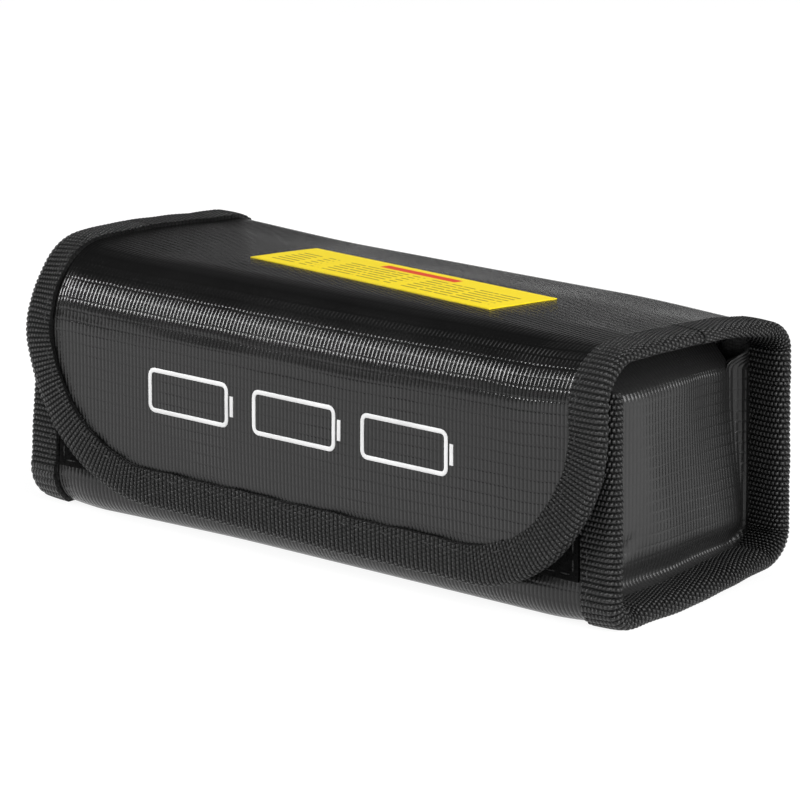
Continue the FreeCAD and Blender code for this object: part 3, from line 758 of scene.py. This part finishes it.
def coons(bottom, top, left, right):
    """A patch of points between four edges."""
    u = np.linspace(0, 1, len(bottom))[None, :, None]
    v = np.linspace(0, 1, len(left))[:, None, None]
    ruled = (1 - v) * bottom[None] + v * top[None] + (1 - u) * left[:, None] + u * right[:, None]
    corners = (1 - u) * (1 - v) * bottom[0] + u * (1 - v) * bottom[-1]
    corners = corners + (1 - u) * v * top[0] + u * v * top[-1]
    return ruled - corners


def tray_surface(side):
    """Points, faces and flat layout of one end's tray, placed as if at the right end."""
    stops = [0.0, MOUTH_Z - TRAY_TOP, AT_BOTTOM_FRONT + QUARTER * BOTTOM_R / 2]
    stops += [AT_BOTTOM_BACK + QUARTER * BOTTOM_R / 2, at_back_z(TRAY_TOP), at_back_z(MOUTH_Z)]
    runs = [spaced(a, b, 1.0)[:-1] for a, b in zip(stops, stops[1:])]
    s = np.concatenate(runs + [[stops[-1]]])
    cuts = np.cumsum([0] + [len(run) for run in runs])
    share = np.linspace(0, 1, 22)
    strip, strip_uv = tray_strip(side, *np.broadcast_arrays(s[:, None], share[None, :]))
    inner = strip[:, -1]
    left, bottom = inner[cuts[1] : cuts[2] + 1][::-1], inner[cuts[2] : cuts[3] + 1]
    right = inner[cuts[3] : cuts[4] + 1]
    top = left[-1] + (right[-1] - left[-1]) * np.linspace(0, 1, len(bottom))[:, None]
    patch = coons(bottom, top, left, right)
    patch[..., 0] = END_X + plate_swell(patch[..., 1], patch[..., 2])
    points = np.concatenate([strip.reshape(-1, 3), patch.reshape(-1, 3)])
    uv = np.concatenate([strip_uv.reshape(-1, 2), patch[..., 1:].reshape(-1, 2)])
    patch_faces = grid_faces(*patch.shape[:2])[:, ::-1] + strip[..., 0].size
    faces = np.concatenate([grid_faces(*strip.shape[:2]), patch_faces])
    return welded(points, faces, uv)


def welded(points, faces, uv):
    """Joins points that share a place."""
    _, first, same = np.unique(np.round(points, 4), axis=0, return_index=True, return_inverse=True)
    faces = same.reshape(-1)[faces]
    whole = np.array([len(set(face)) == 4 for face in faces.tolist()])
    return points[first], faces[whole], uv[first]


def at_end(points, side):
    """The right end's points, or their mirror image, in the settled bag."""
    x, y, z = np.moveaxis(points, -1, 0)
    return settled(side * x, y, z)


def mirrored(points, faces, side):
    """The same for a mesh, whose faces then still look outward."""
    return at_end(points, side), faces if side > 0 else faces[:, ::-1]


def make_trays():
    """The two end panels, of the same cloth with a slightly duller coat and a lighter base colour, which is
    painted light.
    """
    for name, side in SIDES:
        points, faces, uv = tray_surface(side)
        points, faces = mirrored(points, faces, side)
        pieces = [f"end_cloth_{name}", f"end_inner_{name}"]
        nodes = [f"end_panel_{name}", f"end_lining_{name}"]
        # end_cloth's lighter base colour is painted light on the end panels.
        lined_cloth(pieces, nodes, points, faces, uv, "end_cloth", body="pouch")


# ---------------------------------------------------------------- ears

EAR_FOLD_Z = TRAY_TOP + 3
EAR_PATH = [
    (END_X, TRAY_TOP),
    (END_X, EAR_FOLD_Z),
    (END_X - EAR_BEND, EAR_FOLD_Z + EAR_BEND),
    (END_X - EAR_BEND - 18.0, EAR_FOLD_Z + EAR_BEND),
]
EAR_RUN, EAR_PLACE, _ = track(EAR_PATH, 3.0, 0.25)
EAR_TAPER_START = 3.0 + EAR_BEND * math.sqrt(2) - 1.0
EAR_FRONT, EAR_BACK = -24.5, 31.6


def ear_face(y, p):
    """The right ear's outer face: p runs from the end panel's top over the fold to the tip."""
    x, z = np.interp(p, EAR_RUN, EAR_PLACE[:, 0]), np.interp(p, EAR_RUN, EAR_PLACE[:, 1])
    x = x + plate_swell(y, TRAY_TOP + 0 * y) * smooth(p, 14.0, 0.0)
    z = z + 0.25 * np.sin(y / 9.0) * smooth(p, 4.0, 12.0)
    return np.stack([x, y, z], axis=-1)


def ear_edges(p):
    """The ear's front and back edges at p, drawn in towards the tip."""
    taper = EAR_TAPER * np.clip((p - EAR_TAPER_START) / (EAR_RUN[-1] - EAR_TAPER_START), 0, 1)
    return EAR_FRONT + taper, EAR_BACK - taper


def make_ears():
    """The two ears, of the end panels' cloth, each bending on from the top of its end panel."""
    p = spaced(0.0, EAR_RUN[-1], 1.0)[:, None]
    low, high = ear_edges(p)
    y = low + (high - low) * np.linspace(0, 1, 60)[None, :]
    p = np.broadcast_to(p, y.shape)
    grid, uv = ear_face(y, p), np.stack([y, TRAY_TOP + p], axis=-1).reshape(-1, 2)
    for name, side in SIDES:
        points, faces = mirrored(grid.reshape(-1, 3), grid_faces(*p.shape)[:, ::-1], side)
        pieces = [f"ear_cloth_{name}", f"ear_inner_{name}"]
        nodes = [f"ear_panel_{name}", f"ear_lining_{name}"]
        # The ears share end_cloth and its lighter base colour, which is painted light.
        lined_cloth(pieces, nodes, points, faces, uv, "end_cloth", bend=ear_bend(name, side))


def ear_bend(name, side):
    fold = (side * END_X, 0, EAR_FOLD_Z)
    return {
        "from": "pouch",
        "to": f"ear_{name}",
        "start": metres(fold[0], 0, fold[2] - 3.0),
        "end": metres(fold[0] - side * 3.0, 0, fold[2] + 3.5),
    }


# ---------------------------------------------------------------- binding tape

EDGE_ROUND = 1.6
FLAT_POINTS = 9
EDGE_POINTS = 9
OUTER_POINTS = 2 * FLAT_POINTS + EDGE_POINTS


def tape_section(stack, width):
    """The tape's closed section: (inward, height) points, the way out at each, and the run across.

    stack is the thickness of cloth inside. The first OUTER_POINTS points go over the outer face, round
    the edge and back along the inner face, and the rest return against the cloth.
    """
    reach = width - TAPE
    flat = np.linspace(reach, EDGE_ROUND, FLAT_POINTS)
    crown = 0.12 * np.sin(math.pi * np.linspace(0, 1, FLAT_POINTS))
    angle = np.linspace(QUARTER, 3 * QUARTER, EDGE_POINTS + 2)[1:-1]
    edge_in = EDGE_ROUND + (EDGE_ROUND + TAPE) * np.cos(angle)
    edge_up = -stack / 2 + (stack / 2 + TAPE) * np.sin(angle)
    inner = [(reach, -stack), (1.0, -stack), (0.35, -stack / 2), (1.0, 0.0), (reach, 0.0)]
    points = np.concatenate(
        [np.stack([flat, TAPE + crown], axis=-1), np.stack([edge_in, edge_up], axis=-1)]
        + [np.stack([flat[::-1], -stack - TAPE - crown], axis=-1), inner]
    )
    outs = np.zeros_like(points)
    outs[:FLAT_POINTS] = (0, 1)
    outs[FLAT_POINTS : FLAT_POINTS + EDGE_POINTS] = np.stack([np.cos(angle), np.sin(angle)], axis=-1)
    outs[FLAT_POINTS + EDGE_POINTS : OUTER_POINTS] = (0, -1)
    across = np.concatenate([[0], np.cumsum(np.linalg.norm(np.diff(points, axis=0), axis=1))])
    return points, outs, across


def tape_piece(name, surface, run, place, inward, stack, nodes, width=TAPE_WIDTH, **move):
    """Binding tape folded over an edge. place and inward are in the surface's own two coordinates."""
    stack = np.broadcast_to(np.asarray(stack, float), run.shape)
    _, outs, across = tape_section(float(stack.max()), width)
    sections = np.array([tape_section(float(thick), width)[0] for thick in stack])
    rib = 0.34 * np.abs(np.sin(math.pi * run / RIB)) ** 0.8
    rib = rib + 0.05 * np.sin(run / 3.7) + 0.04 * np.sin(run / 1.9 + 1)
    waver = 0.16 * np.sin(run / 4.3) + 0.10 * np.sin(run / 1.7 + 2)
    border = np.zeros(len(outs))
    border[[0, OUTER_POINTS - 1]] = 1.0
    a = sections[:, :, 0] + rib[:, None] * outs[:, 0] + waver[:, None] * border
    height = sections[:, :, 1] + rib[:, None] * outs[:, 1]
    u, v = (place[:, None, i] + inward[:, None, i] * a for i in (0, 1))
    uv = np.stack(np.broadcast_arrays(run[:, None], across[None, :]), axis=-1)
    piece = new_piece(name, surface(u, v, height), tube_faces(*a.shape), "binding_tape", uv)
    finish_piece(piece, "binding_tape", nodes, **move)


def closed_start(run, stack, length=2.4):
    """The stack inside a tape whose start is tucked shut."""
    return stack * np.sqrt(np.clip(run / length, 0.02, 1.0))


def side_tapes(kind, start, run, stack, **move):
    """Tape on both sides of the strip, from start on."""
    for name, side in SIDES:
        place = np.stack([np.full_like(run, side * CLOTH_X), start + run], axis=-1)
        inward = np.broadcast_to([-side, 0.0], place.shape)
        nodes = [f"{kind}_binding_{name}"]
        tape_piece(f"{kind}_tape_{name}", wrap, run, place, inward, stack, nodes, **move)


def make_side_tapes():
    """Tape round each end, tucked shut at its start, and from the joint on along the lid's sides."""
    over = 0.5
    run = spaced(0.0, TAPE_JOINT, RIB_STEP)
    side_tapes("end", -over, run, closed_start(run, FIN), body="pouch")
    start = TAPE_JOINT - over
    run = spaced(0.0, LID_SEAM - start, RIB_STEP)
    side_tapes("lid", start, run, FIN + (WALL - FIN) * smooth(run, 4.0, 30.0), bend=BACK_BEND)


def flap_border(inset, step):
    """Steps along the flap's edge, moved in by inset: down the left from mid-lid, and up the right."""
    x, low = CLOTH_X - inset, FLAP_EDGE_Z + inset
    left, right = (flap_level(np.array(side * x), LID_SEAM) for side in (-1, 1))
    corners = [(-x, left), (-x, low), (x, low), (x, right)]
    return track(corners, FLAP_CORNER - TAPE - inset, step)


def make_flap_tape():
    run, place, way = flap_border(0.0, RIB_STEP)
    tape_piece("flap_tape", front, run, place, left_of(way), WALL, ["flap_binding"], bend=FRONT_BEND)


def make_mouth_tape():
    run = spaced(0.0, 2 * MOUTH_TAPE_X, RIB_STEP)
    place = np.stack([run - MOUTH_TAPE_X, np.full_like(run, 0.0)], axis=-1)
    inward = np.broadcast_to([0.0, 1.0], place.shape)
    tape_piece("mouth_tape", wrap, run, place, inward, WALL, ["mouth_binding"], body="pouch")


def ear_surface(side):
    """The outer face of one end's ear, or places off it, by y and the run p from the end panel's top."""
    return lambda y, p, out: at_end(lifted(ear_face, y, p, -np.asarray(out)), side)


def make_ear_tapes():
    """Tape round each ear's sides and tip."""
    tip, root = EAR_RUN[-1], 10.0
    bend_low, bend_high = ear_edges(np.array(EAR_TAPER_START))
    tip_low, tip_high = ear_edges(np.array(tip))
    corners = [(bend_low, root), (bend_low, EAR_TAPER_START), (tip_low, tip), (tip_high, tip)]
    corners += [(bend_high, EAR_TAPER_START), (bend_high, root)]
    run, place, way = track(corners, 2.5, RIB_STEP)
    for name, side in SIDES:
        face, move = ear_surface(side), {"width": EAR_TAPE_WIDTH, "bend": ear_bend(name, side)}
        nodes = [f"ear_binding_{name}"]
        tape_piece(f"ear_tape_{name}", face, run, place, left_of(way), WALL, nodes, **move)


# ---------------------------------------------------------------- seams

THREAD_R = 0.22
SEAM_IN = TAPE_WIDTH - TAPE - STITCH_INSET
LOOP_BACKING, HOOK_BACKING = 0.6, 0.4


def seam(name, surface, runs, nodes, out, **move):
    """A row of stitches. Each run is (places, ways) in the surface's own two coordinates."""
    place, way = (np.concatenate([run[i] for run in runs]) for i in (0, 1))
    along = np.linspace(-0.5, 0.5, 7)
    bulge = np.sqrt(np.clip(1 - (2 * along) ** 2, 0.06, 1))
    centre = place[:, None] + way[:, None] * along[None, :, None] * STITCH_LENGTH
    low = surface(centre[..., 0], centre[..., 1], out + 0 * centre[..., 0])
    high = surface(centre[..., 0], centre[..., 1], out + 0.1 + 0 * centre[..., 0])
    up = (high - low) / np.linalg.norm(high - low, axis=-1, keepdims=True)
    onward = np.gradient(low, axis=1)
    across = np.cross(onward, up)
    across = across / np.linalg.norm(across, axis=-1, keepdims=True)
    angle = np.linspace(0, 2 * math.pi, 7)[:-1]
    spoke = across[:, :, None] * np.cos(angle)[:, None] + up[:, :, None] * np.sin(angle)[:, None]
    points = low[:, :, None] + spoke * (THREAD_R * bulge)[None, :, None, None]
    count, rings, around = points.shape[:3]
    faces = repeated(tube_faces(rings, around), count, rings * around)
    finish_piece(new_piece(name, points, faces, "thread"), "thread", nodes, **move)


def straight_run(start, end):
    start, end = np.array(start, float), np.array(end, float)
    length = np.linalg.norm(end - start)
    count = max(1, int(length // STITCH_PITCH))
    shares = (np.arange(count) + 0.5) / count
    place = start + (end - start) * shares[:, None]
    return place, np.broadcast_to((end - start) / length, place.shape)


def box_runs(half_x, low, high, inset=1.5):
    """Four runs of stitches round a strip."""
    x, low, high = half_x - inset, low + inset, high - inset
    corners = [(-x, low), (x, low), (x, high), (-x, high), (-x, low)]
    return [straight_run(a, b) for a, b in zip(corners, corners[1:])]


def make_seams():
    """The rows of stitches: on the tapes, and round the hook and loop strips."""
    on_tape = TAPE + 0.16
    for name, side in SIDES:
        x = side * (CLOTH_X - SEAM_IN)
        runs = [straight_run((x, 4.0), (x, TAPE_JOINT - 2.0))]
        seam(f"end_seam_{name}", wrap, runs, [f"end_stitches_{name}"], on_tape, body="pouch")
        runs = [straight_run((x, TAPE_JOINT), (x, LID_SEAM - 2.0))]
        seam(f"lid_seam_{name}", wrap, runs, [f"lid_stitches_{name}"], on_tape, bend=BACK_BEND)
    _, place, way = flap_border(SEAM_IN, STITCH_PITCH)
    seam("flap_seam", front, [(place[1:-1], way[1:-1])], ["flap_stitches"], on_tape, bend=FRONT_BEND)
    runs = [straight_run((-MOUTH_TAPE_X + 2, SEAM_IN), (MOUTH_TAPE_X - 2, SEAM_IN))]
    seam("mouth_seam", wrap, runs, ["mouth_stitches"], on_tape, body="pouch")
    runs = box_runs(loop_high[0], MOUTH_Z - loop_high[2], MOUTH_Z - loop_low[2])
    seam("loop_seam", wrap, runs, ["loop_stitches"], LOOP_BACKING + 0.02, body="pouch")
    runs = box_runs(hook_high[0], hook_low[2], hook_high[2])
    seam("hook_seam", front, runs, ["hook_stitches"], -WALL - HOOK_BACKING - 0.25, body="flap")


# ---------------------------------------------------------------- hook and loop


def slab(name, surface, half_x, low, high, near, far, slot):
    """A flat strip on a surface, between two heights off it."""
    x, v = np.meshgrid(spaced(-half_x, half_x, 2.0), spaced(low, high, 2.0))
    top, bottom = surface(x, v, near + 0 * x), surface(x, v, far + 0 * x)
    points = np.concatenate([top.reshape(-1, 3), bottom.reshape(-1, 3)])
    return new_piece(name, points, two_sided(grid_faces(*x.shape), x.size), slot)


def tufts(name, surface, places, size, base, sign, slot, bow):
    """Small three-sided loops or hooks standing on a strip, each a bent tube."""
    count, rings = len(places), 5
    heading = rng.uniform(0, 2 * math.pi, count) if bow else np.full(count, -QUARTER)
    share = np.linspace(0, 1, rings)
    tall = size * rng.uniform(0.75, 1.1, count)
    arch = tall[:, None] * np.sin(math.pi * share * (1.0 if bow else 0.72))
    lean = size * (share - 0.5) * (1.5 if bow else 0.9)
    u = places[:, :1] + np.cos(heading)[:, None] * lean
    v = places[:, 1:] + np.sin(heading)[:, None] * lean
    angle = np.linspace(0, 2 * math.pi, 4)[:-1]
    thin = 0.07
    u = u[..., None] - np.sin(heading)[:, None, None] * thin * np.cos(angle)
    v = v[..., None] + np.cos(heading)[:, None, None] * thin * np.cos(angle)
    out = base + sign * (arch[..., None] + thin * np.sin(angle))
    faces = repeated(tube_faces(rings, 3), count, rings * 3)
    return new_piece(name, surface(u, v, out), faces, slot)


def scattered(half_x, low, high, pitch, jitter, margin=0.6):
    """Places at about even steps over a strip."""
    half_x, low, high = half_x - margin, low + margin, high - margin
    u, v = np.meshgrid(spaced(-half_x, half_x, pitch), spaced(low, high, pitch))
    places = np.stack([u.ravel(), v.ravel()], axis=-1)
    return places + rng.uniform(-jitter, jitter, places.shape)


def make_strips():
    """The soft loop strip on the front panel and the hook strip inside the flap."""
    low, high = MOUTH_Z - loop_high[2], MOUTH_Z - loop_low[2]
    backing = slab("loop_backing", wrap, loop_high[0], low, high, LOOP_BACKING, 0.0, "loop_pile")
    finish_piece(backing, "loop_pile", ["loop_strip"], body="pouch")
    places = scattered(loop_high[0], low, high, 0.95, 0.5)
    loops = tufts("loop_tufts", wrap, places, 0.75, 0.5, 1, "loop_pile", True)
    finish_piece(loops, "loop_pile", [], body="pouch")
    low, high = hook_low[2], hook_high[2]
    near, far = -WALL, -WALL - HOOK_BACKING
    backing = slab("hook_backing", front, hook_high[0], low, high, near, far, "hook_field")
    finish_piece(backing, "hook_field", ["hook_strip"], body="flap")
    places = scattered(hook_high[0], low, high, 1.9, 0.05)
    hooks = tufts("hooks", front, places, 0.6, -WALL - 0.35, -1, "hook_field", False)
    finish_piece(hooks, "hook_field", [], body="flap")


# ---------------------------------------------------------------- sticker and print


def make_label():
    """The sticker, a film that lies on the lid at a slight turn."""
    half_l, half_w = LABEL_LENGTH / 2, LABEL_WIDTH / 2
    a, b = np.meshgrid(spaced(-half_l, half_l, 1.5), spaced(half_w, -half_w, 1.0))
    x = LABEL_CENTRE[0] + a * math.cos(LABEL_TURN) - b * math.sin(LABEL_TURN)
    y = LABEL_CENTRE[1] + a * math.sin(LABEL_TURN) + b * math.cos(LABEL_TURN)
    lift, thickness = 0.22, 0.26
    points = wrap(x, at_lid_y(y), lift)
    points, uv = points.reshape(-1, 3), np.stack([a, b], axis=-1).reshape(-1, 2)
    label = shell("label_film", points, grid_faces(*a.shape), uv, 0.0, thickness, "label_film")
    finish_piece(label, "label_film", ["label_sticker"], body="lid")


INK = 0.14
MARK = {
    "length": 27.0,
    "height": 11.0,
    "corner": 2.0,
    "stroke": 1.1,
    "pitch": 35.0,
    "shift": -2.0,
    "level": 35.0,
}


def ink_line(corners, radius):
    """A printed line along a path on the flap: points and faces of a thin rounded ribbon."""
    _, place, way = track(corners, radius, 0.5)
    side = left_of(way)
    half = MARK["stroke"] / 2
    a = np.array([-half, -half * 0.8, half * 0.8, half, half, -half])
    height = np.array([0.02, INK, INK, 0.02, -0.1, -0.1])
    x = place[:, None, 0] + side[:, None, 0] * a
    z = place[:, None, 1] + side[:, None, 1] * a
    points = front(x, z, np.broadcast_to(height, x.shape)).reshape(-1, 3)
    return points, tube_faces(*x.shape)


def make_print():
    """Three outlined cells with their terminals, in place of the bag's lettering."""
    points, faces = [], []
    half_l, half_h = MARK["length"] / 2 - MARK["stroke"] / 2, MARK["height"] / 2 - MARK["stroke"] / 2
    for place in (-1, 0, 1):
        middle, level = place * MARK["pitch"] + MARK["shift"], MARK["level"]
        left, right, low, high = middle - half_l, middle + half_l, level - half_h, level + half_h
        loop = [(middle, low), (right, low), (right, high), (left, high), (left, low)]
        loop += [(middle + 0.01, low)]
        nub = middle + MARK["length"] / 2 + MARK["stroke"]
        for corners in (loop, [(nub, level - half_h / 2), (nub, level + half_h / 2)]):
            more, more_faces = ink_line(corners, MARK["corner"] - MARK["stroke"] / 2)
            start = sum(len(p) for p in points)
            points.append(more)
            faces += [[i + start for i in face] for face in more_faces]
    marks = new_piece("flap_marks", np.concatenate(points), faces, "print_ink")
    finish_piece(marks, "print_ink", ["printed_mark"], body="flap")


# ---------------------------------------------------------------- stage, lights and camera


def direction(azimuth, elevation):
    """The way out from the bag by elevation and azimuth, which is 0 at the front and 90 at the right."""
    a, e = math.radians(azimuth), math.radians(elevation)
    return Vector((math.sin(a) * math.cos(e), -math.cos(a) * math.cos(e), math.sin(e)))


def facing(away, roll):
    """The turn of a camera or light that looks back along away, rolled by some degrees."""
    turn = away.to_track_quat("Z", "Y").to_matrix() @ Matrix.Rotation(math.radians(roll), 3, "Z")
    return turn.to_4x4()


def make_stage():
    side = 4000
    corners = [(-side, -side, 0), (side, -side, 0), (side, side, 0), (-side, side, 0)]
    floor = new_piece("floor", corners, [(0, 1, 2, 3)], "floor")


def make_camera():
    """A long lens from the front right, a little above the bag."""
    distance, target = 1044.2, Vector((-1.3, -1.1, 33.2))
    away = direction(42.77, 13.85)
    data = bpy.data.cameras.new("camera")
    data.lens, data.sensor_width = 196.2, 36.0
    data.clip_start, data.clip_end = 0.01, 50.0
    camera = bpy.data.objects.new("camera", data)
    camera.matrix_world = Matrix.Translation((target + away * distance) * MM) @ facing(away, -0.67)
    bpy.context.scene.collection.objects.link(camera)
    bpy.context.scene.camera = camera


def make_light(name, azimuth, elevation, distance, size, power, roll=0.0):
    """A soft rectangular light that faces the bag, in metres and watts."""
    away = direction(azimuth, elevation)
    data = bpy.data.lights.new(name, "AREA")
    data.shape = "RECTANGLE"
    data.size, data.size_y = size
    data.energy = power
    light = bpy.data.objects.new(name, data)
    bag_middle = Vector((0, 0, 0.03))
    light.matrix_world = Matrix.Translation(away * distance + bag_middle) @ facing(away, roll)
    bpy.context.scene.collection.objects.link(light)


def make_world():
    """White to the camera. To the bag, pale low down and dark higher up, like a low white sweep."""
    world = bpy.data.worlds.new("studio")
    bpy.context.scene.world = world
    world.use_nodes = True
    tree = world.node_tree
    place = tree.nodes.new("ShaderNodeTexCoord")
    split = tree.nodes.new("ShaderNodeSeparateXYZ")
    tree.links.new(place.outputs["Generated"], split.inputs[0])
    glow = Wire(tree, split.outputs[2]).ramp((0.0, 0.32), (0.22, 0.18), (0.40, 0.02), (1.0, 0.012))
    seen = Wire(tree, tree.nodes.new("ShaderNodeLightPath").outputs["Is Camera Ray"])
    background = tree.nodes["Background"]
    tree.links.new(mixed(seen, glow, (1, 1, 1)).socket, background.inputs["Color"])
    background.inputs["Strength"].default_value = 1.0


def make_lights():
    """A slanting strip for the shine along the front fold, and soft boxes overhead and at the right."""
    make_light("fold_strip", -49.5, 27, 1.5, (0.17, 0.60), 13, roll=24)
    make_light("top_box", 40, 74, 1.6, (1.5, 1.5), 16)
    make_light("side_box", 98, 26, 1.4, (1.3, 0.8), 26)
    bpy.context.scene.view_settings.view_transform = "Standard"


make_camera()
make_world()
make_lights()
make_stage()
make_strip()
make_trays()
make_ears()
make_side_tapes()
make_flap_tape()
make_mouth_tape()
make_ear_tapes()
make_seams()
make_strips()
make_label()
make_print()
